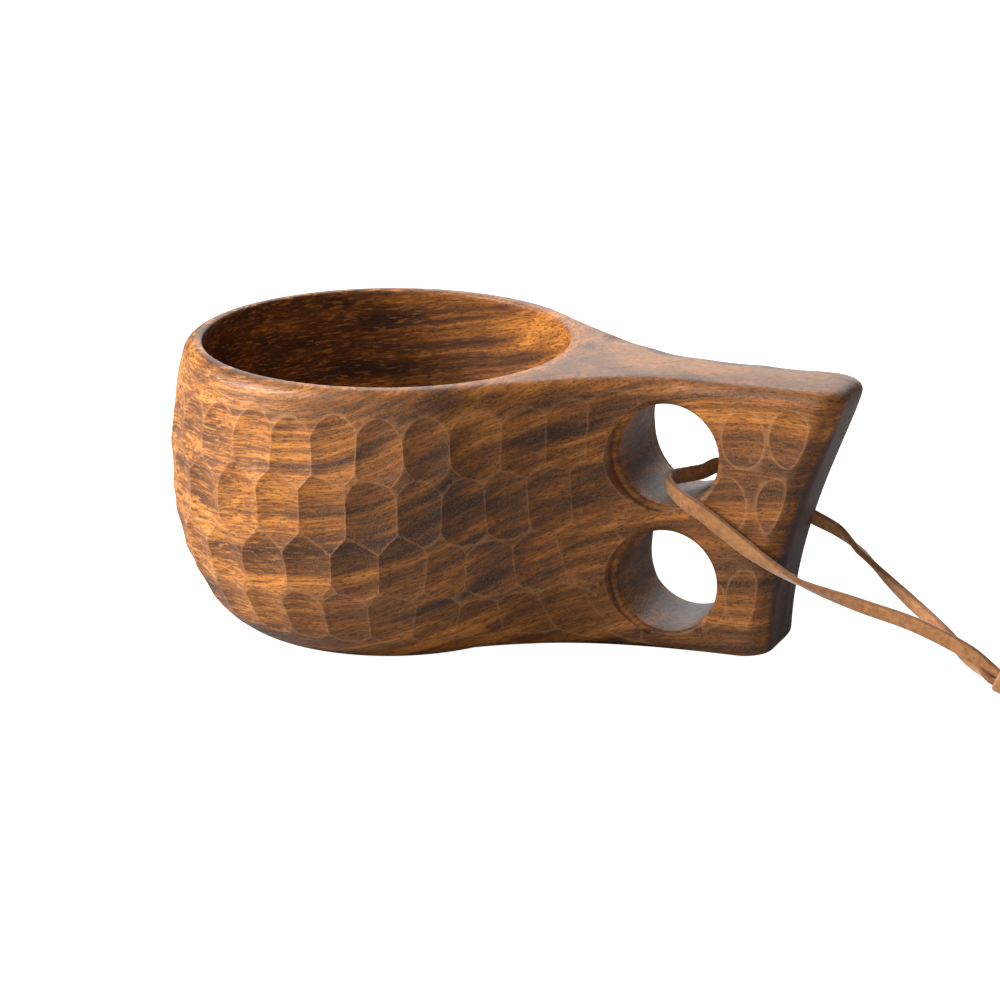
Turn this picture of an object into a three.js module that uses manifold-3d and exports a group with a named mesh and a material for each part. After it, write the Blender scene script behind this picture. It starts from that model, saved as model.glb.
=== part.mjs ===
// A kuksa: a drinking cup carved from one block of dark hardwood, with a suede lace looped
// through the upper of its two finger holes.
// Millimetres, +Z up. The origin is the middle of the flat base that the cup stands on, and
// the handle points along +X, so the cup is the same on both sides of the XZ plane.
import * as THREE from "three";
import { LoftGeometry } from "three/addons/geometries/LoftGeometry.js";
import { mergeVertices } from "three/addons/utils/BufferGeometryUtils.js";
import Module from "manifold-3d";

// Bowl, outside
const CUP_HEIGHT = 61;
const BASE_RADIUS = 27;
const BELLY_RADIUS = 46.3;
const BELLY_HEIGHT = 38;
const RIM_RADIUS = 42.7;
const RIM_EDGE = 2.2;

// Bowl, inside
const CAVITY_SHIFT = -0.9; // the wall is a little thinner on the side away from the handle
const MOUTH_RADIUS = 38.6;
const MOUTH_EDGE = 0.8;
const CAVITY_BELLY = 40.2;
const CAVITY_FLOOR = 7;
const CAVITY_CORNER = 17;

// Handle
const FLARE_ANGLE = THREE.MathUtils.degToRad(50);
const GRIP_START = 68;
const GRIP_HALF = 10.6;
const GRIP_TOP_EDGE = 3.2;
const GRIP_LOW_EDGE = 2.6;
const GRIP_END_CORNER = 5.5;
const UNDERSIDE = 3.2;

// Finger holes, straight through the handle
const HOLE_RADIUS = 10.8;
const HOLE_LIP = 1.2;
const UPPER_HOLE = new THREE.Vector2(65.6, 45);
const LOWER_HOLE = new THREE.Vector2(65.6, 18);

// Lace: one flat strip of suede, drawn through the upper hole and knotted to itself
const LACE_WIDTH = 3.3;
const LACE_THICK = 1.3;
const KNOT_CENTRE = new THREE.Vector3(141.2, -9.2, 4.5);
const KNOT_HALF = new THREE.Vector3(5.1, 4.7, 4.3);

// The lace's way from the knot along the front of the handle, round inside the upper hole and
// back behind the handle to the knot: x, y, z, then how far its width is turned up from level,
// in degrees. It stands on its edge in the hole and turns over once on each side.
const LOOP_STATIONS = [
  [135.6, -9.2, 6.7, 80], [130.2, -9.9, 10.6, 85], [119.2, -10.6, 15.3, 80],
  [107, -11.2, 18.4, 70], [95, -11.8, 21.8, 25], [88, -12.1, 25.2, 60],
  [82.4, -11.9, 28.4, 90], [74, -11.9, 34, 90], [69.8, -11.4, 36.1, 90],
  [66.6, -9.3, 37.4, 90], [64.4, -6.6, 38.1, 90], [63.5, -3.2, 38, 90],
  [63.9, 0.3, 37.5, 90], [65.4, 4, 37.1, 90], [67.3, 7.2, 37, 90],
  [69.7, 10.5, 37.7, 90], [74.2, 12.4, 35.3, 90], [82, 12.5, 31.2, 90],
  [90.3, 12.3, 28, 100], [96, 11.4, 25.9, 115], [101.3, 9.1, 22.9, 155],
  [107.8, 5.2, 19.4, 120], [114.5, 1, 16.3, 95], [120, -2.8, 14.2, 95],
  [125, -6.4, 12.2, 100], [130, -8.5, 8.8, 100], [135.4, -9.2, 5, 100],
];
const LONG_TAIL_STATIONS = [
  [146.5, -7.9, 3.2, 0], [148.6, -7, 1.8, 0], [151.6, -5.4, 0.9, 0],
  [155.4, -3.4, 0.8, 0], [160, -2.2, 0.8, 0],
];
const SHORT_TAIL_STATIONS = [
  [146.1, -11.2, 3, 0], [148, -12.5, 1.6, 0], [150.6, -14.4, 0.8, 0],
  [153.4, -17, 0.8, 0], [155.4, -19.8, 0.8, 0],
];

// How finely the round shapes are divided
const ARC_STEPS = 20;
const FLARE_STEPS = 9;
const SIDE_STEPS = 4;
const CORNER_STEPS = 4;
const CAVITY_SIDES = 60;
const HOLE_SIDES = 44;
const LOOP_STEPS = 64;
const TAIL_STEPS = 7;

const wasm = await Module();
wasm.setup();

function solidOf(geometry) {
  geometry.deleteAttribute("normal");
  geometry.deleteAttribute("uv");
  const merged = mergeVertices(geometry, 1e-4);
  return new wasm.Manifold(new wasm.Mesh({
    numProp: 3,
    vertProperties: merged.attributes.position.array,
    triVerts: new Uint32Array(merged.index.array),
  }));
}

function geometryOf(solid) {
  const mesh = solid.getMesh();
  const geometry = new THREE.BufferGeometry();
  geometry.setAttribute("position", new THREE.BufferAttribute(mesh.vertProperties, 3));
  geometry.setIndex(new THREE.BufferAttribute(mesh.triVerts, 1));
  geometry.computeVertexNormals();
  return geometry;
}

// Outer radius of the bowl at height z: a full, round belly that draws in to the base below
// and a little to the rim above.
function bowlRadius(z) {
  if (z > BELLY_HEIGHT) {
    const t = (z - BELLY_HEIGHT) / (CUP_HEIGHT - BELLY_HEIGHT);
    return BELLY_RADIUS - (BELLY_RADIUS - RIM_RADIUS) * t * t;
  }
  const t = 1 - z / BELLY_HEIGHT;
  return BASE_RADIUS + (BELLY_RADIUS - BASE_RADIUS) * (1 - t ** 2.4) ** 0.55;
}

// How far a rounded edge of the given radius draws the wall in, at a depth below the edge.
function edgeInset(depth, radius) {
  if (depth >= radius) return 0;
  return radius - Math.sqrt(radius * radius - (radius - depth) ** 2);
}

// Where the concave end of the handle stands at height z.
const END_CURVE = new THREE.CubicBezierCurve(
  new THREE.Vector2(87.5, UNDERSIDE),
  new THREE.Vector2(88, 31),
  new THREE.Vector2(101.3, 51.5),
  new THREE.Vector2(102.5, CUP_HEIGHT),
);

function endAt(z) {
  let low = 0;
  let high = 1;
  for (let i = 0; i < 30; i++) {
    const mid = (low + high) / 2;
    if (END_CURVE.getPoint(mid).y < z) low = mid;
    else high = mid;
  }
  return END_CURVE.getPoint(low).x;
}

// Half of the plan outline at height z, from the far side of the bowl round to the middle
// of the handle's end: bowl arc, flare, grip side, end corner.
function halfOutline(z) {
  const depth = CUP_HEIGHT - z;
  const r = bowlRadius(z) - edgeInset(depth, RIM_EDGE);
  const inset = edgeInset(depth, GRIP_TOP_EDGE) + edgeInset(z - UNDERSIDE, GRIP_LOW_EDGE);
  const half = GRIP_HALF - inset;
  const end = endAt(z) - inset;
  const points = [];
  for (let i = 0; i < ARC_STEPS; i++) {
    const a = THREE.MathUtils.lerp(Math.PI, FLARE_ANGLE, i / ARC_STEPS);
    points.push(new THREE.Vector2(r * Math.cos(a), r * Math.sin(a)));
  }
  const leave = new THREE.Vector2(r * Math.cos(FLARE_ANGLE), r * Math.sin(FLARE_ANGLE));
  const along = new THREE.Vector2(Math.sin(FLARE_ANGLE), -Math.cos(FLARE_ANGLE));
  const reach = (GRIP_START - leave.x) / 2;
  const flare = new THREE.CubicBezierCurve(
    leave,
    leave.clone().addScaledVector(along, reach),
    new THREE.Vector2(GRIP_START - reach * 0.55, half),
    new THREE.Vector2(GRIP_START, half),
  );
  points.push(...flare.getPoints(FLARE_STEPS));
  for (let i = 1; i < SIDE_STEPS; i++) {
    const x = THREE.MathUtils.lerp(GRIP_START, end - GRIP_END_CORNER, i / SIDE_STEPS);
    points.push(new THREE.Vector2(x, half));
  }
  for (let i = 0; i <= CORNER_STEPS; i++) {
    const a = Math.PI / 2 * (1 - i / CORNER_STEPS);
    points.push(new THREE.Vector2(
      end - GRIP_END_CORNER * (1 - Math.cos(a)),
      half - GRIP_END_CORNER * (1 - Math.sin(a)),
    ));
  }
  points.push(new THREE.Vector2(end, 0));
  return points;
}

function ring(half, z) {
  const near = half.map((p) => new THREE.Vector3(p.x, -p.y, z));
  const far = half.slice(1, -1).reverse().map((p) => new THREE.Vector3(p.x, p.y, z));
  return [...near, ...far];
}

// A ring that is the bowl's circle alone, with as many points as the outline has.
function baseRing(z) {
  const steps = ARC_STEPS + FLARE_STEPS + SIDE_STEPS + CORNER_STEPS + 1;
  const r = bowlRadius(z);
  const half = [];
  for (let i = 0; i <= steps; i++) {
    const a = i <= ARC_STEPS
      ? THREE.MathUtils.lerp(Math.PI, FLARE_ANGLE, i / ARC_STEPS)
      : FLARE_ANGLE * (steps - i) / (steps - ARC_STEPS);
    half.push(new THREE.Vector2(r * Math.cos(a), r * Math.sin(a)));
  }
  return ring(half, z);
}

// The carved outside, before the bowl is hollowed and the finger holes are bored. Its rings
// lie close together where an edge is rounded.
function blank() {
  const rings = [0, 0.9, 2].map((z) => baseRing(z));
  const low = [0.3, 0.9, 1.9, 3.3, 5.4].map((above) => UNDERSIDE + above);
  const middle = [12, 16, 21, 27, 33, 39, 45, 50, 54.5];
  const high = [4, 2.6, 1.5, 0.7, 0.2, 0].map((below) => CUP_HEIGHT - below);
  for (const z of [...low, ...middle, ...high]) rings.push(ring(halfOutline(z), z));
  return solidOf(new LoftGeometry(rings, { closed: true, capStart: true, capEnd: true }));
}

// The hollow of the bowl: upright walls that draw in to the mouth a little, a wide round
// corner and a nearly flat floor.
function cavity() {
  const outside = 4;
  const profile = new THREE.Path();
  profile.moveTo(0, CAVITY_FLOOR);
  profile.lineTo(CAVITY_BELLY - CAVITY_CORNER, CAVITY_FLOOR + 0.8);
  profile.quadraticCurveTo(
    CAVITY_BELLY - 1.5, CAVITY_FLOOR + 2.5,
    CAVITY_BELLY, CAVITY_FLOOR + CAVITY_CORNER + 6,
  );
  profile.quadraticCurveTo(
    CAVITY_BELLY + 0.5, CUP_HEIGHT - 15,
    MOUTH_RADIUS, CUP_HEIGHT - MOUTH_EDGE,
  );
  profile.quadraticCurveTo(
    MOUTH_RADIUS, CUP_HEIGHT,
    MOUTH_RADIUS + MOUTH_EDGE, CUP_HEIGHT,
  );
  profile.lineTo(MOUTH_RADIUS + MOUTH_EDGE, CUP_HEIGHT + outside);
  profile.lineTo(0, CUP_HEIGHT + outside);
  const hollow = new THREE.LatheGeometry(profile.getPoints(5), CAVITY_SIDES);
  return solidOf(hollow.rotateX(Math.PI / 2).translate(CAVITY_SHIFT, 0, 0));
}

// A finger hole across the handle, with its two lips rounded over.
function fingerHole(centre) {
  const outside = GRIP_HALF + 12;
  const lip = [];
  for (let i = 0; i <= 4; i++) {
    const a = Math.PI / 2 * i / 4;
    lip.push(new THREE.Vector2(
      HOLE_RADIUS + HOLE_LIP * (1 - Math.cos(a)),
      GRIP_HALF - HOLE_LIP * (1 - Math.sin(a)),
    ));
  }
  lip.push(new THREE.Vector2(HOLE_RADIUS + HOLE_LIP, outside));
  const front = lip.map((p) => new THREE.Vector2(p.x, -p.y)).reverse();
  const axisStart = new THREE.Vector2(0, -outside);
  const axisEnd = new THREE.Vector2(0, outside);
  const cutter = new THREE.LatheGeometry([axisStart, ...front, ...lip, axisEnd], HOLE_SIDES);
  return solidOf(cutter.translate(centre.x, 0, centre.y));
}

function cupBody() {
  const carved = blank()
    .subtract(cavity())
    .subtract(fingerHole(UPPER_HOLE))
    .subtract(fingerHole(LOWER_HOLE));
  const wood = new THREE.MeshStandardMaterial({
    color: 0x6b3f22,
    roughness: 0.5,
    metalness: 0,
  });
  const mesh = new THREE.Mesh(geometryOf(carved), wood);
  mesh.name = "cup_body";
  return mesh;
}

const UP = new THREE.Vector3(0, 0, 1);

// A smooth route through the stations of a lace, which also says which way its width lies.
class LaceRoute extends THREE.CatmullRomCurve3 {
  constructor(stations) {
    super(stations.map(([x, y, z]) => new THREE.Vector3(x, y, z)), false, "centripetal");
    this.turns = stations.map((station) => THREE.MathUtils.degToRad(station[3]));
  }

  turnAt(u) {
    const place = this.getUtoTmapping(u) * (this.turns.length - 1);
    const before = Math.min(Math.floor(place), this.turns.length - 2);
    return THREE.MathUtils.lerp(this.turns[before], this.turns[before + 1], place - before);
  }

  computeFrenetFrames(segments) {
    const frames = { tangents: [], normals: [], binormals: [] };
    for (let i = 0; i <= segments; i++) {
      const tangent = this.getTangentAt(i / segments);
      const across = new THREE.Vector3().crossVectors(tangent, UP).normalize();
      across.applyAxisAngle(tangent, this.turnAt(i / segments));
      frames.tangents.push(tangent);
      frames.normals.push(across);
      frames.binormals.push(new THREE.Vector3().crossVectors(tangent, across));
    }
    return frames;
  }
}

// The lace's cut section: a flat strip whose two faces are a little narrower than its middle.
function laceSection() {
  const corner = LACE_THICK / 3;
  const x = LACE_WIDTH / 2;
  const y = LACE_THICK / 2;
  return new THREE.Shape([
    new THREE.Vector2(x, y - corner),
    new THREE.Vector2(x - corner, y),
    new THREE.Vector2(corner - x, y),
    new THREE.Vector2(-x, y - corner),
    new THREE.Vector2(-x, corner - y),
    new THREE.Vector2(corner - x, -y),
    new THREE.Vector2(x - corner, -y),
    new THREE.Vector2(x, corner - y),
  ]);
}

const suede = new THREE.MeshStandardMaterial({
  color: 0xa9713f,
  roughness: 0.9,
  metalness: 0,
});

function lace(name, stations, steps) {
  const strip = new THREE.ExtrudeGeometry(laceSection(), {
    steps,
    extrudePath: new LaceRoute(stations),
  });
  const mesh = new THREE.Mesh(strip, suede);
  mesh.name = name;
  return mesh;
}

function laceKnot() {
  const mesh = new THREE.Mesh(new THREE.SphereGeometry(1, 16, 10), suede);
  mesh.scale.copy(KNOT_HALF);
  mesh.position.copy(KNOT_CENTRE);
  mesh.name = "lace_knot";
  return mesh;
}

const kuksa = new THREE.Group();
kuksa.add(
  cupBody(),
  lace("lace_loop", LOOP_STATIONS, LOOP_STEPS),
  laceKnot(),
  lace("lace_tail_long", LONG_TAIL_STATIONS, TAIL_STEPS),
  lace("lace_tail_short", SHORT_TAIL_STATIONS, TAIL_STEPS),
);
export default kuksa;
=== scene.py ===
import math
import random

import bmesh
import bpy
import numpy as np
from mathutils import Matrix, Vector


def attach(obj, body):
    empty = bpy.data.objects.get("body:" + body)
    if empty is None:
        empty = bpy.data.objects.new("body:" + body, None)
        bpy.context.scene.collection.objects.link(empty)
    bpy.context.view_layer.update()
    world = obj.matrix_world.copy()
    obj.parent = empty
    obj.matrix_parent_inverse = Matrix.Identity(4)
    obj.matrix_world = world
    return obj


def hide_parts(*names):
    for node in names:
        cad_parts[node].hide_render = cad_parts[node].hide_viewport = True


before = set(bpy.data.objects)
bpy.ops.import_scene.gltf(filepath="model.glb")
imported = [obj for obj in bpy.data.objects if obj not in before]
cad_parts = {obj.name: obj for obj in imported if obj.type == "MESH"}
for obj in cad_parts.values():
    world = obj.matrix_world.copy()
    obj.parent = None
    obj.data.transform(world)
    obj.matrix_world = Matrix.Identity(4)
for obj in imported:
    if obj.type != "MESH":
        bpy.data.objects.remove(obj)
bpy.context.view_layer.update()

# The view: across the cup's front from a little to its right and above, through a long lens
# a metre away, as for a small object on a table.
look_at = Vector((0.0248, 0, 0.028))
side_turn = math.radians(21.5)
down_tilt = math.radians(17.2)
bpy.ops.object.select_all(action="DESELECT")
bpy.ops.object.camera_add(
    location=look_at + Vector((
        math.sin(side_turn) * math.cos(down_tilt),
        -math.cos(side_turn) * math.cos(down_tilt),
        math.sin(down_tilt),
    )),
    rotation=(math.pi / 2 - down_tilt, 0, side_turn),
)
camera = bpy.context.object
camera.data.lens = 171.4
camera.data.sensor_width = 36
bpy.context.scene.camera = camera
bpy.context.scene.view_settings.view_transform = "Standard"


# The lace: one flat strip cut from tan suede, drawn through the upper finger hole, its two ends
# held together at the knot. A rounded section is swept along a smooth curve through its
# stations. It stands on its edge in the hole and lies on the table at its ends.
lace_width = 0.0033
lace_thick = 0.0013
# Each station is x, y, z in millimetres, then how far the width is turned up from level.
lace_stations = [
    (160, -2.2, 0.8, 0), (155.4, -3.4, 0.8, 0), (151.6, -5.4, 0.9, 0), (148.6, -7, 1.9, 0),
    (146.3, -8.1, 3.4, 0), (143.6, -8.9, 4.6, 0), (138.6, -9.2, 5.8, 10),
    (135, -9.2, 7.1, 70), (130.2, -9.9, 10.6, 85), (119.2, -10.6, 15.3, 80),
    (107, -11.2, 18.4, 70), (95, -11.8, 21.8, 25), (88, -12.1, 25.2, 60),
    (82.4, -11.9, 28.4, 90), (74, -11.9, 34, 90), (69.8, -11.4, 36.1, 90),
    (66.6, -9.3, 37.4, 90), (64.4, -6.6, 38.1, 90), (63.5, -3.2, 38, 90),
    (63.9, 0.3, 37.5, 90), (65.4, 4, 37.1, 90), (67.3, 7.2, 37, 90),
    (69.7, 10.5, 37.7, 90), (74.2, 12.4, 35.3, 90), (82, 12.5, 31.2, 90),
    (90.3, 12.3, 28, 100), (96, 11.4, 25.9, 115), (101.3, 9.1, 22.9, 155),
    (107.8, 5.2, 19.4, 120), (114.5, 1, 16.3, 95), (120, -2.8, 14.2, 95),
    (125, -6.4, 12.2, 100), (130, -8.5, 8.6, 110), (134.8, -9.2, 5.2, 165),
    (138.6, -9.2, 4.2, 180), (143.6, -9.4, 3.1, 180), (146.3, -10.8, 2, 180),
    (148.4, -12.4, 1.2, 180), (150.6, -14.4, 0.8, 180), (153.4, -17, 0.8, 180),
    (155.4, -19.8, 0.8, 180),
]


def smooth_route(stations, steps):
    """Places, headings and width directions along a centripetal curve through the stations."""
    spots = [np.array(s[:3]) / 1000 for s in stations]
    spots = [2 * spots[0] - spots[1], *spots, 2 * spots[-1] - spots[-2]]
    route = []
    for i in range(1, len(spots) - 2):
        a, b, c, d = spots[i - 1:i + 3]
        ab, bc, cd = [math.sqrt(np.linalg.norm(q - p)) for p, q in ((a, b), (b, c), (c, d))]
        leave = ((b - a) / ab - (c - a) / (ab + bc) + (c - b) / bc) * bc
        arrive = ((c - b) / bc - (d - b) / (bc + cd) + (d - c) / cd) * bc
        last = i == len(spots) - 3
        for step in range(steps + last):
            t = step / steps
            place = (
                b + leave * t
                + (3 * (c - b) - 2 * leave - arrive) * t ** 2
                + (2 * (b - c) + leave + arrive) * t ** 3
            )
            heading = (
                leave + 2 * (3 * (c - b) - 2 * leave - arrive) * t
                + 3 * (2 * (b - c) + leave + arrive) * t ** 2
            )
            heading = Vector(heading).normalized()
            turn = math.radians((1 - t) * stations[i - 1][3] + t * stations[i][3])
            level = heading.cross(Vector((0, 0, 1))).normalized()
            route.append((Vector(place), heading, Matrix.Rotation(turn, 3, heading) @ level))
    return route


lace_route = smooth_route(lace_stations, 8)
corner = lace_thick * 0.42
half_width = lace_width / 2
half_thick = lace_thick / 2
section = []
for mid_x, mid_y, start in (
    (half_width - corner, half_thick - corner, 0),
    (corner - half_width, half_thick - corner, 90),
    (corner - half_width, corner - half_thick, 180),
    (half_width - corner, corner - half_thick, 270),
):
    for k in range(4):
        angle = math.radians(start + 30 * k)
        section.append((mid_x + corner * math.cos(angle), mid_y + corner * math.sin(angle)))


def ribbon(name, route):
    """A strip along the route: places, headings and the direction of its width at each."""
    mesh = bpy.data.meshes.new(name)
    shape = bmesh.new()
    uv = shape.loops.layers.uv.new("along_lace")
    rings = []
    for place, heading, across in route:
        out = heading.cross(across)
        rings.append([shape.verts.new(place + across * u + out * v) for u, v in section])
    walked = 0.0
    for i in range(len(rings) - 1):
        step = (route[i + 1][0] - route[i][0]).length
        for k in range(len(section)):
            after = (k + 1) % len(section)
            face = shape.faces.new(
                (rings[i][k], rings[i][after], rings[i + 1][after], rings[i + 1][k])
            )
            face.smooth = True
            ends = (walked, walked, walked + step, walked + step)
            sides = (section[k][0], section[after][0], section[after][0], section[k][0])
            for loop, along, side in zip(face.loops, ends, sides):
                loop[uv].uv = (along, side)
        walked += step
    for ring in (rings[0][::-1], rings[-1]):
        for loop in shape.faces.new(ring).loops:
            loop[uv].uv = (0.0, half_width)
    bmesh.ops.recalc_face_normals(shape, faces=shape.faces)
    shape.to_mesh(mesh)
    shape.free()
    strip = bpy.data.objects.new(name, mesh)
    bpy.context.scene.collection.objects.link(strip)
    return strip


lace = ribbon("lace", lace_route)


class Term:
    """One output of a node, which adds and multiplies as a number does."""

    def __init__(self, tree, output):
        self.tree = tree
        self.output = output

    def node(self, kind, settings, values, out=0):
        """Adds any node: its settings first, then the numbers or Terms of its sockets."""
        made = self.tree.nodes.new("ShaderNode" + kind)
        for name, value in settings.items():
            if name == "stops":
                while len(made.color_ramp.elements) < len(value):
                    made.color_ramp.elements.new(0.5)
                for stop, (place, colour) in zip(made.color_ramp.elements, value):
                    stop.position = place
                    stop.color = (*colour, 1)
            else:
                setattr(made, name, value)
        for name, value in values.items():
            if isinstance(value, Term):
                self.tree.links.new(value.output, made.inputs[name])
            else:
                made.inputs[name].default_value = value
        return Term(self.tree, made.outputs[out])

    def math(self, operation, first, second=0.0):
        return self.node("Math", {"operation": operation}, {0: first, 1: second})

    def __add__(self, other):
        return self.math("ADD", self, other)

    def __radd__(self, other):
        return self.math("ADD", other, self)

    def __sub__(self, other):
        return self.math("SUBTRACT", self, other)

    def __rsub__(self, other):
        return self.math("SUBTRACT", other, self)

    def __mul__(self, other):
        return self.math("MULTIPLY", self, other)

    def __rmul__(self, other):
        return self.math("MULTIPLY", other, self)

    def step(self, low, high):
        """Rises smoothly from 0 to 1 as this goes from low to high."""
        return self.node(
            "MapRange", {"interpolation_type": "SMOOTHSTEP"},
            {"Value": self, "From Min": low, "From Max": high},
        )

    def stretch(self, x, y, z):
        """This place with each of its axes scaled."""
        return self.node("VectorMath", {"operation": "MULTIPLY"}, {0: self, 1: (x, y, z)})

    def noise(self, scale, detail=2.0, roughness=0.5):
        return self.node(
            "TexNoise", {}, {"Vector": self, "Scale": scale, "Detail": detail,
                             "Roughness": roughness},
        )

    def blend(self, first, second):
        """The first colour where this is 0 and the second where it is 1."""
        return self.node("Mix", {"data_type": "RGBA"}, {0: self, 6: first, 7: second}, out=2)


def new_material(name, source):
    """An empty node material, its Principled shader and its coordinates."""
    material = bpy.data.materials.new(name)
    material.use_nodes = True
    tree = material.node_tree
    surface = tree.nodes["Principled BSDF"]
    coordinates = tree.nodes.new("ShaderNodeTexCoord")
    return material, surface, Term(tree, coordinates.outputs[source])


def plug(term, surface, socket):
    """Feeds the Term into a socket of the shader."""
    term.tree.links.new(term.output, surface.inputs[socket])


# The suede: a fine two-tone nap with browner patches, darker along its cut edges.
suede, suede_surface, on_suede = new_material("napped_suede", "Object")
along = on_suede.node("UVMap", {"uv_map": "along_lace"}, {})
side = along.node("SeparateXYZ", {}, {0: along}, out=1)
edge = (side.math("ABSOLUTE", side) * 1000).step(1.25, 1.6)
nap = on_suede.noise(900, 4, 0.6)
patches = on_suede.noise(160, 2, 0.5)
fibres = along.stretch(1, 3, 1).noise(1500, 3, 0.6)
tan = nap.step(0.3, 0.7).blend((0.21, 0.085, 0.025, 1), (0.42, 0.18, 0.058, 1))
tan = (patches.step(0.35, 0.65) * 0.5).blend(tan, (0.30, 0.125, 0.04, 1))
tan = (edge * 0.55).blend(tan, (0.10, 0.04, 0.015, 1))
plug(tan, suede_surface, "Base Color")
suede_surface.inputs["Roughness"].default_value = 0.92
suede_surface.inputs["Sheen Weight"].default_value = 0.35
suede_surface.inputs["Sheen Roughness"].default_value = 0.4
bump = nap.node("Bump", {}, {"Height": nap * 0.6 + fibres * 0.4, "Strength": 0.5,
                              "Distance": 0.00025})
plug(bump, suede_surface, "Normal")
lace.data.materials.append(suede)
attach(lace, "lace")
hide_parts("lace_loop", "lace_tail_long", "lace_tail_short")


# The knot: a short strip of the same suede wound a little over twice round both strands, which
# run straight through it. It stands for the knot that ties the lace's two ends, and both of the
# strip's ends are drawn in a little towards the strands.
wind_from = Vector((0.1373, -0.0092, 0.0052))
wind_to = Vector((0.1449, -0.0091, 0.0036))
wind_turns = 2.3
wind_start = -0.9
wind_radius = 0.00305
tuck_depth = 0.0012
tucked_share = 0.07
wind_steps = 90
wind_axis = (wind_to - wind_from).normalized()
wind_side = wind_axis.cross(Vector((0, 0, 1))).normalized()
wind_up = wind_side.cross(wind_axis)
windings = []
for i in range(wind_steps + 1):
    t = i / wind_steps
    angle = 2 * math.pi * wind_turns * t + wind_start
    tuck = tuck_depth * max(0, 1 - min(t, 1 - t) / tucked_share) ** 2
    spread = wind_radius - tuck
    out = wind_side * math.cos(angle) + wind_up * math.sin(angle)
    onward = wind_up * math.cos(angle) - wind_side * math.sin(angle)
    heading = (onward * spread * 2 * math.pi * wind_turns + (wind_to - wind_from)).normalized()
    windings.append((wind_from.lerp(wind_to, t) + out * spread, heading,
                     out.cross(heading).normalized()))
knot = ribbon("knot", windings)
knot.data.materials.append(suede)
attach(knot, "lace")
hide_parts("lace_knot")
lace_length = sum(
    (b[0] - a[0]).length for a, b in zip(lace_route, lace_route[1:])
)


# The cup: bowl and handle carved from one block of dark hardwood. The outside is cut in short
# overlapping strokes of a shallow gouge, which leave scooped cells between low ridges; the
# hollow, the finger holes, the rim and the handle's end are turned, bored and sanded smooth.
cup_height = 0.061
base_radius = 0.027
belly_radius = 0.0463
belly_height = 0.038
rim_radius = 0.0427
rim_edge = 0.0022
flare_angle = math.radians(50)
grip_start = 0.068
grip_half = 0.0106
grip_top_edge = 0.0032
grip_low_edge = 0.0026
grip_end_corner = 0.0055
underside = 0.0032
foot_height = 0.002
# How many points each stretch of half an outline has.
arc_points = 78
flare_points = 34
side_points = 14
corner_points = 10


def bezier(points, count):
    """Points along a cubic curve."""
    t = np.linspace(0, 1, count)[:, None]
    a, b, c, d = np.array(points)
    return a * (1 - t) ** 3 + 3 * b * t * (1 - t) ** 2 + 3 * c * t ** 2 * (1 - t) + d * t ** 3


handle_end = bezier(
    [(0.0875, underside), (0.088, 0.031), (0.1013, 0.0515), (0.1025, cup_height)], 60
)


def bowl_radius(z):
    if z > belly_height:
        t = (z - belly_height) / (cup_height - belly_height)
        return belly_radius - (belly_radius - rim_radius) * t * t
    t = 1 - z / belly_height
    return base_radius + (belly_radius - base_radius) * (1 - t ** 2.4) ** 0.55


def edge_inset(depth, radius):
    if depth >= radius:
        return 0
    return radius - math.sqrt(radius * radius - (radius - depth) ** 2)


def plan_outline(z):
    """Half of the outline at height z, from the far side of the bowl to the handle's end."""
    depth = cup_height - z
    r = bowl_radius(z) - edge_inset(depth, rim_edge)
    inset = edge_inset(depth, grip_top_edge) + edge_inset(z - underside, grip_low_edge)
    half = grip_half - inset
    end = np.interp(z, handle_end[:, 1], handle_end[:, 0]) - inset
    angles = np.linspace(math.pi, flare_angle, arc_points, endpoint=False)
    leave = r * np.array([math.cos(flare_angle), math.sin(flare_angle)])
    reach = (grip_start - leave[0]) / 2
    heading = np.array([math.sin(flare_angle), -math.cos(flare_angle)])
    quarter = np.linspace(math.pi / 2, 0, corner_points)
    return np.vstack([
        np.column_stack([r * np.cos(angles), r * np.sin(angles)]),
        bezier([leave, leave + heading * reach,
                (grip_start - reach * 0.55, half), (grip_start, half)], flare_points),
        np.column_stack([np.linspace(grip_start, end - grip_end_corner, side_points)[1:-1],
                         np.full(side_points - 2, half)]),
        np.column_stack([end - grip_end_corner * (1 - np.cos(quarter)),
                         half - grip_end_corner * (1 - np.sin(quarter))]),
        [(end, 0)],
    ])


def base_outline(z, steps):
    """Half of the bowl's circle alone, with as many points as the outline has."""
    angles = np.concatenate([
        np.linspace(math.pi, flare_angle, arc_points, endpoint=False),
        flare_angle * np.linspace(1, 0, steps - arc_points),
    ])
    return bowl_radius(z) * np.column_stack([np.cos(angles), np.sin(angles)])


def set_ring(ring, half, z):
    """Puts a selected ring of the blank, taken in order round the cup, on its outline."""
    whole = np.vstack([half * (1, -1), half[-2:0:-1]])
    for vert, (x, y) in zip(ring, whole):
        vert.co = (x, y, z)


def bearing(vert):
    return math.atan2(vert.co.y, vert.co.x)


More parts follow.
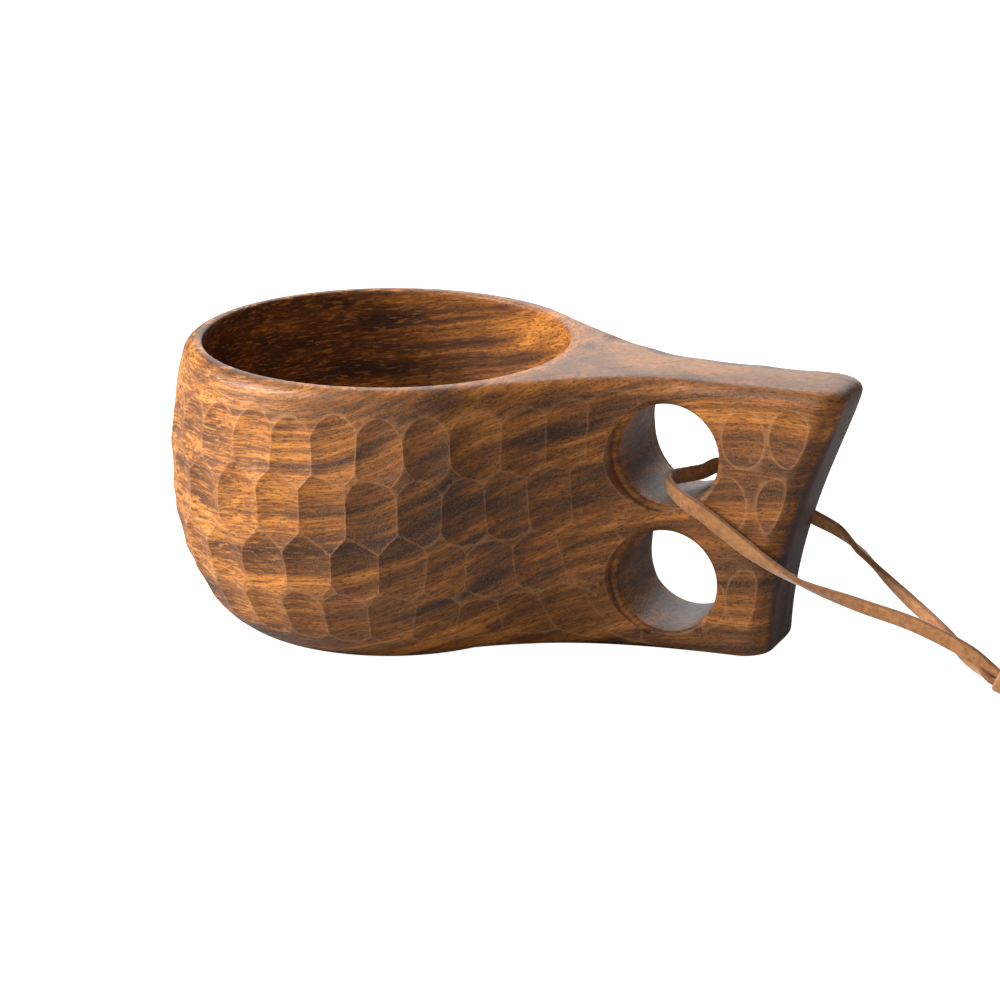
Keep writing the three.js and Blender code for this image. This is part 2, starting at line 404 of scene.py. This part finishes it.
levels = [0, 0.0004, 0.0009, 0.0014, foot_height]
levels += [underside + d for d in (0.0002, 0.0005, 0.0009, 0.0014, 0.002, 0.0027, 0.0035)]
levels += list(np.linspace(0.008, 0.056, 36))
levels += [cup_height - d for d in
           (0.004, 0.0033, 0.0026, 0.002, 0.0015, 0.0011, 0.0007, 0.0004, 0.0002, 0.00005, 0)]
outline_count = len(plan_outline(0.03))
around = 2 * outline_count - 2
bpy.ops.object.select_all(action="DESELECT")
bpy.ops.mesh.primitive_circle_add(vertices=around, radius=base_radius, fill_type="NGON")
cup = bpy.context.object
cup.name = "cup"
bpy.ops.object.mode_set(mode="EDIT")
bpy.ops.mesh.select_mode(type="VERT")
shape = bmesh.from_edit_mesh(cup.data)
shape.verts.ensure_lookup_table()
ring = sorted(shape.verts, key=bearing)
start = min(range(around), key=lambda i: abs(bearing(ring[i]) + math.pi - 1e-4))
ring = ring[start:] + ring[:start]
set_ring(ring, base_outline(0, outline_count), 0)
bmesh.update_edit_mesh(cup.data)
for z in levels[1:]:
    bpy.ops.mesh.extrude_region_move(TRANSFORM_OT_translate={"value": (0, 0, 1e-4)})
    shape = bmesh.from_edit_mesh(cup.data)
    moved = [v for v in shape.verts if v.select]
    moved.sort(key=bearing)
    first = min(range(around), key=lambda i: (moved[i].co - ring[0].co).length)
    ring = moved[first:] + moved[:first]
    # The foot, below the handle's underside, is the bowl's circle alone.
    half = base_outline(z, outline_count) if z <= foot_height else plan_outline(z)
    set_ring(ring, half, z)
    bmesh.update_edit_mesh(cup.data)
bpy.ops.mesh.select_all(action="SELECT")
bpy.ops.mesh.normals_make_consistent(inside=False)
bpy.ops.object.mode_set(mode="OBJECT")


def spun(name, profile, steps, centre, axis):
    """A closed solid turned from a profile that starts and ends on its axis."""
    mesh = bpy.data.meshes.new(name)
    mesh.from_pydata(profile, [(i, i + 1) for i in range(len(profile) - 1)], [])
    solid = bpy.data.objects.new(name, mesh)
    bpy.context.scene.collection.objects.link(solid)
    bpy.ops.object.select_all(action="DESELECT")
    solid.select_set(True)
    bpy.context.view_layer.objects.active = solid
    bpy.ops.object.mode_set(mode="EDIT")
    bpy.ops.mesh.select_all(action="SELECT")
    bpy.ops.mesh.spin(steps=steps, angle=2 * math.pi, center=centre, axis=axis)
    bpy.ops.mesh.select_all(action="SELECT")
    bpy.ops.mesh.remove_doubles(threshold=1e-6)
    bpy.ops.mesh.normals_make_consistent(inside=False)
    bpy.ops.object.mode_set(mode="OBJECT")
    return solid


def cut(body, tool):
    """Cuts the tool's shape out of the body."""
    bpy.ops.object.select_all(action="DESELECT")
    body.select_set(True)
    bpy.context.view_layer.objects.active = body
    carve = body.modifiers.new("carve", "BOOLEAN")
    carve.object = tool
    carve.operation = "DIFFERENCE"
    carve.solver = "MANIFOLD"
    bpy.ops.object.modifier_apply(modifier="carve")
    bpy.data.objects.remove(tool)


def gouge(across, along, taper):
    """One stroke of a gouge: the low cap of a long shallow bowl, its sole facing down at Z=0
    and its upper end, where the gouge went in, a little narrower and steeper than the lower."""
    thick = 0.004
    cap_height = 0.00117
    reach = math.sqrt(along * thick)
    bpy.ops.object.select_all(action="DESELECT")
    bpy.ops.mesh.primitive_uv_sphere_add(segments=48, ring_count=64, radius=1)
    cap = bpy.context.object
    cap.data.transform(Matrix.Diagonal((math.sqrt(across * thick), reach, thick, 1)))
    for vert in cap.data.vertices:
        end = taper * vert.co.y / reach
        vert.co.x *= 1 - end
        vert.co.y *= 1 - 0.5 * end
    cap.data.transform(Matrix.Translation((0, 0, thick)))
    bpy.ops.object.mode_set(mode="EDIT")
    bpy.ops.mesh.select_all(action="SELECT")
    bpy.ops.mesh.bisect(
        plane_co=(0, 0, cap_height), plane_no=(0, 0, 1), use_fill=True, clear_outer=True,
        threshold=1e-7,
    )
    bpy.ops.object.mode_set(mode="OBJECT")
    return cap


bowl_gouge = gouge(0.026, 0.060, 0.2)
grip_gouge = gouge(0.032, 0.060, 0.2)


def surface_spot(s, z):
    """The outside's point, outward normal and level tangent at arc length s and height z."""
    def at(s, z):
        half = plan_outline(z)
        run = np.concatenate([[0], np.cumsum(np.linalg.norm(np.diff(half, axis=0), axis=1))])
        return Vector((np.interp(s, run, half[:, 0]), -np.interp(s, run, half[:, 1]), z))
    here = at(s, z)
    level = (at(s + 0.001, z) - at(s - 0.001, z)).normalized()
    up = (at(s, z + 0.001) - at(s, z - 0.001)).normalized()
    return here, level.cross(up).normalized(), level


# Where the strokes lie on the front: millimetres round from the far side of the bowl, then up.
stroke_rows = [
    [(29, 47), (39.2, 46.7), (48.9, 47.7), (59.2, 48.5), (68.5, 47.9), (77.7, 49.2), (87, 48.8),
     (96.8, 49.4), (107.3, 49.6), (117.7, 49.3), (126.6, 50), (135, 51)],
    [(34, 34), (44.4, 34), (56.3, 35.5), (66.9, 36.3), (76.6, 35.7), (86.9, 35.7), (96.9, 36.3),
     (106.4, 36), (115.4, 37), (124.8, 37.6), (134, 38)],
    [(38.5, 21.5), (48.9, 21.7), (60.9, 22.9), (71.6, 24.4), (82, 24.2), (91.4, 24.2),
     (100.2, 23.2), (109.6, 22.9), (120.3, 23.7), (130.8, 25.5)],
    [(44, 11.5), (53.8, 11.5), (63, 11.7), (72.3, 11.9), (81.9, 12.2), (90.4, 11.4),
     (99.1, 10.9), (108.5, 11.2), (119.1, 11.7), (130, 12)],
]
grip_rows = [
    [(163, 50.5), (172.7, 51.5)],
    [(161.5, 36), (171.8, 37)],
    [(150.5, 15.5), (160, 16.5), (169.5, 15)],
]
flare_from = 92
flare_depth = 0.74
grip_depth = 0.34
far_grip_to = 168
far_pitch = 10
strokes = random.Random(11)
marks = []
for front in (1, -1):
    for row, spots in enumerate(stroke_rows):
        for col, (s, z) in enumerate(spots):
            # Every stroke takes its draw, so that those in the flare don't shift the others'.
            depth = strokes.uniform(0.86, 0.94) if row == 0 else strokes.uniform(1.02, 1.12)
            if s > flare_from:
                depth = flare_depth
            marks.append((row, col % 3, front, s > flare_from, s, z, depth))
    for row, spots in enumerate(grip_rows):
        for col, (s, z) in enumerate(spots):
            # On the far side the strokes stop short of the corner of the handle's end.
            if front == 1 or s < far_grip_to:
                marks.append((4 + row % 2, col, front, True, s, z, grip_depth))
# The far side of the bowl, past the first strokes of each front row.
for row, (s, z) in enumerate([(19, 47.3), (24, 34.5), (28, 21.5), (34, 11.5)]):
    while s > 0:
        for front in (1, -1):
            # One on the mirror plane itself is cut once.
            if front == 1 or s > 5:
                marks.append((row, 3 + round(s / 10) % 3, front, False, s, z,
                              0.88 if row == 0 else 1.06))
        s -= far_pitch


def placed_cap(sole, spot, depth, number, twist=0.0, front=1):
    """A copy of a gouge's cut, sunk at a spot: its place, outward normal and level tangent.
    Each of its faces carries the stroke's number."""
    here, normal, level = spot
    turn = Matrix((level, normal.cross(level), normal)).transposed().to_4x4()
    cap = sole.copy()
    cap.data = sole.data.copy()
    bpy.context.scene.collection.objects.link(cap)
    cap.data.transform(
        Matrix.Diagonal((1, front, 1, 1)) @ Matrix.Translation(here) @ turn
        @ Matrix.Rotation(twist, 4, "Z") @ Matrix.Translation((0, 0, -depth))
    )
    if front == -1:
        cap.data.flip_normals()
    tag = cap.data.attributes.new("stroke", "INT", "FACE")
    tag.data.foreach_set("value", [number] * len(cap.data.polygons))
    return cap


def cut_together(body, tools):
    """Cuts several solids that don't touch each other out of the body in one go."""
    bpy.ops.object.select_all(action="DESELECT")
    for tool in tools:
        tool.select_set(True)
    bpy.context.view_layer.objects.active = tools[0]
    bpy.ops.object.join()
    cut(body, bpy.context.object)


cup.data.attributes.new("stroke", "INT", "FACE")
stroke_count = 0
for group in sorted({mark[:4] for mark in marks}):
    caps = []
    for row, col, front, on_handle, s, z, depth in marks:
        if (row, col, front, on_handle) != group:
            continue
        s, z = s / 1000, z / 1000
        if front == -1:
            s += strokes.uniform(-0.0008, 0.0008)
            z += strokes.uniform(-0.0008, 0.0008)
        tool = grip_gouge if on_handle else bowl_gouge
        twist = strokes.uniform(-0.1, 0.1)
        stroke_count += 1
        caps.append(placed_cap(tool, surface_spot(s, z), depth / 1000, stroke_count, twist, front))
    cut_together(cup, caps)
# Four shallow scoops run one after another along the back of the handle's top.
scoop_depth = 0.00045
scoop_lean = 0.13
scoop_normal = Vector((0, scoop_lean, 1)).normalized()
scoop_level = Vector((0, 1, -scoop_lean)).normalized()
for x, y in ((0.049, 0.0145), (0.061, 0.0095), (0.0735, 0.0075), (0.0855, 0.0072)):
    stroke_count += 1
    spot = (Vector((x, y, cup_height)), scoop_normal, scoop_level)
    cut(cup, placed_cap(grip_gouge, spot, scoop_depth, stroke_count))
bpy.data.objects.remove(bowl_gouge)
bpy.data.objects.remove(grip_gouge)


def bow(a, b, c, count):
    """Points along a quadratic curve, without its first."""
    t = np.linspace(0, 1, count + 1)[1:, None]
    a, b, c = np.array([a, b, c])
    return [tuple(p) for p in a * (1 - t) ** 2 + 2 * b * t * (1 - t) + c * t ** 2]


hollow_shift = -0.0009
hollow = [(0, 0.007), (0.008, 0.00715), (0.016, 0.0074), (0.0232, 0.0078)]
hollow += bow((0.0232, 0.0078), (0.0387, 0.0095), (0.0402, 0.03), 22)
hollow += bow((0.0402, 0.03), (0.0407, 0.046), (0.0386, 0.0602), 16)
hollow += bow((0.0386, 0.0602), (0.0386, 0.061), (0.0394, 0.061), 6)
hollow += [(0.0394, 0.065), (0, 0.065)]
cut(cup, spun("hollow", [(hollow_shift + r, 0, z) for r, z in hollow], 168,
              (hollow_shift, 0, 0), (0, 0, 1)))
hole_x = 0.0656
hole_radius = 0.0108
hole_lip = 0.0012
bore_past = 0.012
for hole_z in (0.045, 0.018):
    lip = [(hole_radius + hole_lip * (1 - math.cos(a)), grip_half - hole_lip * (1 - math.sin(a)))
           for a in np.linspace(0, math.pi / 2, 8)]
    lip.append((hole_radius + hole_lip, grip_half + bore_past))
    walls = [(0, -grip_half - bore_past)] + [(r, -y) for r, y in reversed(lip)] + lip
    walls.append((0, grip_half + bore_past))
    cut(cup, spun("bore", [(hole_x + r, y, hole_z) for r, y in walls], 112,
                  (hole_x, 0, hole_z), (0, 1, 0)))
bpy.ops.object.select_all(action="DESELECT")
cup.select_set(True)
bpy.context.view_layer.objects.active = cup
bpy.ops.object.shade_smooth_by_angle(angle=math.radians(14))
# The edges where two strokes meet stay crisp, and are marked for the wood's pale ridge lines:
# partly wear, partly a painted highlight where the ridges catch the light.
shape = bmesh.new()
shape.from_mesh(cup.data)
stroke_of = shape.faces.layers.int["stroke"]
ridge = shape.verts.layers.float.new("ridge")
for line in shape.edges:
    if len(line.link_faces) == 2:
        one, two = line.link_faces
        if one[stroke_of] != two[stroke_of] and line.calc_face_angle() > math.radians(1.5):
            line.smooth = False
            for vert in line.verts:
                vert[ridge] = 1.0
shape.to_mesh(cup.data)
shape.free()

# The wood: dark and oiled, with bands and streaks along the cup that rise from the bowl to the
# handle, short dashes, dark pores, pale ridge lines that are partly wear and partly a painted
# highlight, painted light and shade in the hollow and a dark end face that is painted shade,
# worked out in millimetres.
wood, wood_surface, on_wood = new_material("oiled_walnut", "Object")
mm = on_wood.stretch(1000, 1000, 1000)
x = mm.node("SeparateXYZ", {}, {0: mm}, out=0)
y = mm.node("SeparateXYZ", {}, {0: mm}, out=1)
z = mm.node("SeparateXYZ", {}, {0: mm}, out=2)
wander = mm.noise(0.03, 2, 0.5)
rise = 14 * x.math("TANH", (x - 30) * (1 / 30))
lift = z - rise + 6 * wander
grain = x.node("CombineXYZ", {}, {0: x, 1: y, 2: lift})
# Paler away from the handle, and a little darker in a slanting band where it leaves the bowl.
pale = (x * -1).step(-14, 30)
smoky = (x.math("ABSOLUTE", x - 32 + 0.5 * (y + 40)) * -1).step(-46, -14)
# 1 near the hollow's middle: in the hollow, and on the bowl's narrow lower part.
off_middle = x - hollow_shift * 1000
from_middle = off_middle * off_middle + y * y
from_middle = from_middle.math("SQRT", from_middle)
within = (from_middle * -1).step(-40.9, -40.4)
# Painted shade: the handle's end face, which is darkened further down.
end_face_shade = (x - 0.0047 * z * z).step(86.0, 87.0)
bands = grain.stretch(0.012, 0.06, 0.13).noise(1.0, 2, 0.5)
streaks = grain.stretch(0.012, 0.10, 0.50).noise(1.0, 3, 0.6)
fibres = grain.stretch(0.10, 0.45, 2.4).noise(1.0, 3, 0.6)
dashes = grain.stretch(0.26, 0.42, 2.2).noise(1.0, 2, 0.5)
pores = grain.stretch(0.8, 1.1, 3.0).noise(1.0, 2, 0.6)
grit = mm.noise(3.6, 2, 0.6)
# The within * x term is painted light and shade: the hollow lighter on its right inner wall, where
# the key light falls, and darker on its left, which lies in shade. The same ramp runs over the
# outside of the bowl's narrow lower part.
tone = bands * 0.8 + streaks * 0.85 + pale * 0.10 - smoky * 0.06 - 0.30 + within * x * 0.0042
tone = tone - x.step(70, 84) * 0.045
brown = tone.node("ValToRGB", {"stops": [
    (0.30, (0.036, 0.017, 0.010)), (0.43, (0.110, 0.042, 0.014)),
    (0.56, (0.230, 0.078, 0.016)), (0.74, (0.460, 0.168, 0.030))]}, {0: tone})
brown = (fibres.step(0.46, 0.60) * 0.42).blend(brown, (0.050, 0.021, 0.010, 1))
brown = (dashes.step(0.51, 0.61) * (pale * 0.42 + 0.18)).blend(brown, (0.085, 0.026, 0.008, 1))
brown = ((dashes * -1).step(-0.45, -0.36) * (pale * 0.38 + 0.06)).blend(
    brown, (0.60, 0.25, 0.062, 1))
brown = (pores.step(0.53, 0.62) * 0.62).blend(brown, (0.028, 0.010, 0.005, 1))
brown = (grit.step(0.54, 0.64) * 0.26 * (1 - within)).blend(brown, (0.40, 0.165, 0.045, 1))
# Pale lines on the stroke ridges: partly wear, partly a painted highlight where the ridges catch
# the light.
ridge_wear_and_highlight = on_wood.node("Attribute", {"attribute_name": "ridge"}, {}, out=2)
brown = (ridge_wear_and_highlight * 0.4).blend(brown, (0.36, 0.17, 0.07, 1))
# Painted shade: the handle's end face darkened to a purplish grey.
brown = (end_face_shade * 0.8).blend(brown, (0.040, 0.024, 0.022, 1))
plug(brown, wood_surface, "Base Color")
plug(0.42 + pores * 0.16, wood_surface, "Roughness")
wood_surface.inputs["Specular IOR Level"].default_value = 0.24
wood_surface.inputs["Coat Weight"].default_value = 0.04
wood_surface.inputs["Coat Roughness"].default_value = 0.3
bump = pores.node("Bump", {}, {"Height": dashes * -0.5 - pores * 0.5, "Strength": 0.3,
                                "Distance": 0.00025})
plug(bump, wood_surface, "Normal")
cup.data.materials.clear()
cup.data.materials.append(wood)
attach(cup, "cup")
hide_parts("cup_body")


# The table: a plain floor that runs out of sight. The camera alone sees it lit up as white paper,
# so that no shadow shows on it. To the cup and the lace it is a grey surface.
bpy.ops.object.select_all(action="DESELECT")
bpy.ops.mesh.primitive_plane_add(size=6)
table = bpy.context.object
table.name = "table"
paper, paper_surface, on_paper = new_material("pale_floor", "Object")
paper_surface.inputs["Base Color"].default_value = (0.36, 0.36, 0.36, 1)
paper_surface.inputs["Roughness"].default_value = 0.9
paper_surface.inputs["Emission Strength"].default_value = 1
seen = on_paper.node("LightPath", {}, {})
plug(seen.blend((0, 0, 0, 1), (0.98, 0.98, 0.98, 1)), paper_surface, "Emission Color")
table.data.materials.append(paper)


# The studio: a key light from the left, a second one high on the same side, a broad one behind
# and a weak one in front. The room round them looks white to the camera and lights the cup
# only weakly.
def soft_light(name, place, aim, size, power):
    """A square area light that points from its place at its aim."""
    bpy.ops.object.light_add(type="AREA", location=place)
    light = bpy.context.object
    light.name = name
    light.data.shape = "SQUARE"
    light.data.size = size
    light.data.energy = power
    direction = Vector(aim) - Vector(place)
    light.rotation_euler = direction.to_track_quat("-Z", "Y").to_euler()


soft_light("key", (-0.88, -0.46, 0.56), (0, 0, 0.03), 0.4, 29)
soft_light("overhead", (-0.55, -0.4, 1.0), (0.03, 0, 0.03), 0.5, 10)
soft_light("backdrop", (-0.2, 1.2, 0.6), (0.02, 0, 0.03), 1.2, 12)
soft_light("fill", (0.3, -1.05, 0.35), (0.04, 0, 0.03), 0.9, 5)
room = bpy.data.worlds.new("room")
bpy.context.scene.world = room
room.use_nodes = True
sky = room.node_tree.nodes["Background"]
sky.inputs["Color"].default_value = (1, 1, 1, 1)
ray = room.node_tree.nodes.new("ShaderNodeLightPath")
brightness = Term(room.node_tree, ray.outputs["Is Camera Ray"]) * 0.97 + 0.10
room.node_tree.links.new(brightness.output, sky.inputs["Strength"])
